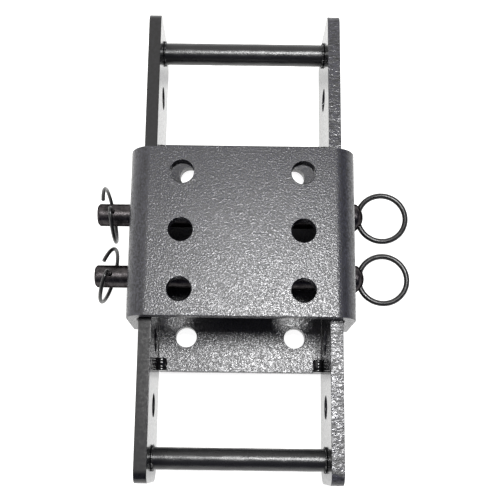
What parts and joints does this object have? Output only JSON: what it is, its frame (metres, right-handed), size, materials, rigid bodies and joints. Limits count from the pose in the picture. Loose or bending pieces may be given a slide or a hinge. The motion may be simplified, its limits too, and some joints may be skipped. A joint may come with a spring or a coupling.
{
  "type": "quick coupler",
  "caption": "Height-adjustable quick coupler: a welded frame with cross rods, a bolt bracket that slides on it, and ringed lock pins that hold the bracket at one of several heights.",
  "frame": {"origin": "middle of the mounting face, on the rear plane of the back plate", "axes": "+X to the right, towards the pin heads; +Y up the side plates; +Z out of the mounting face towards the bracket"},
  "size_m": [0.245, 0.365, 0.0772],
  "materials": {
    "frame_paint": "black powder coat, satin",
    "bracket_paint": "black powder coat, fine texture",
    "rod_paint": "black paint, gloss",
    "weld_paint": "black paint over weld bead, gloss",
    "pin_steel": "blackened steel, satin",
    "ring_steel": "blackened spring wire, satin"
  },
  "bodies": {
    "frame": {"left_side_plate": "frame_paint", "right_side_plate": "frame_paint", "back_plate": "frame_paint", "upper_cross_rod": "rod_paint", "lower_cross_rod": "rod_paint", "upper_left_rod_weld": "weld_paint", "upper_right_rod_weld": "weld_paint", "lower_left_rod_weld": "weld_paint", "lower_right_rod_weld": "weld_paint", "upper_left_web_weld": "weld_paint", "upper_right_web_weld": "weld_paint", "lower_left_web_weld": "weld_paint", "lower_right_web_weld": "weld_paint", "slider_bracket": "bracket_paint"},
    "upper_pin": {"upper_pin": "pin_steel"},
    "upper_pull_ring": {"upper_pull_ring": "ring_steel"},
    "upper_lock_ring": {"upper_lock_ring": "ring_steel"},
    "lower_pin": {"lower_pin": "pin_steel"},
    "lower_pull_ring": {"lower_pull_ring": "ring_steel"},
    "lower_lock_ring": {"lower_lock_ring": "ring_steel"}
  },
  "joints": [
    {"name": "upper_pin_float", "type": "slide", "parent": "frame", "child": "upper_pin", "axis": [1, 0, 0], "range_m": [0, 0.006]},
    {"name": "upper_pull_ring_swing", "type": "hinge", "parent": "upper_pin", "child": "upper_pull_ring", "pos_m": [0.0917, 0.025, 0.0325], "axis": [0, 1, 0], "range_deg": [-85, 85]},
    {"name": "upper_lock_ring_swivel", "type": "hinge", "parent": "upper_pin", "child": "upper_lock_ring", "pos_m": [-0.10155, 0.025, 0.0325], "axis": [0, 0, 1], "range_deg": [-33, 17]},
    {"name": "lower_pin_float", "type": "slide", "parent": "frame", "child": "lower_pin", "axis": [1, 0, 0], "range_m": [0, 0.006]},
    {"name": "lower_pull_ring_swing", "type": "hinge", "parent": "lower_pin", "child": "lower_pull_ring", "pos_m": [0.0917, -0.025, 0.0325], "axis": [0, 1, 0], "range_deg": [-85, 85]},
    {"name": "lower_lock_ring_swivel", "type": "hinge", "parent": "lower_pin", "child": "lower_lock_ring", "pos_m": [-0.10155, -0.025, 0.0325], "axis": [0, 0, 1], "range_deg": [-8, 42]}
  ]
}
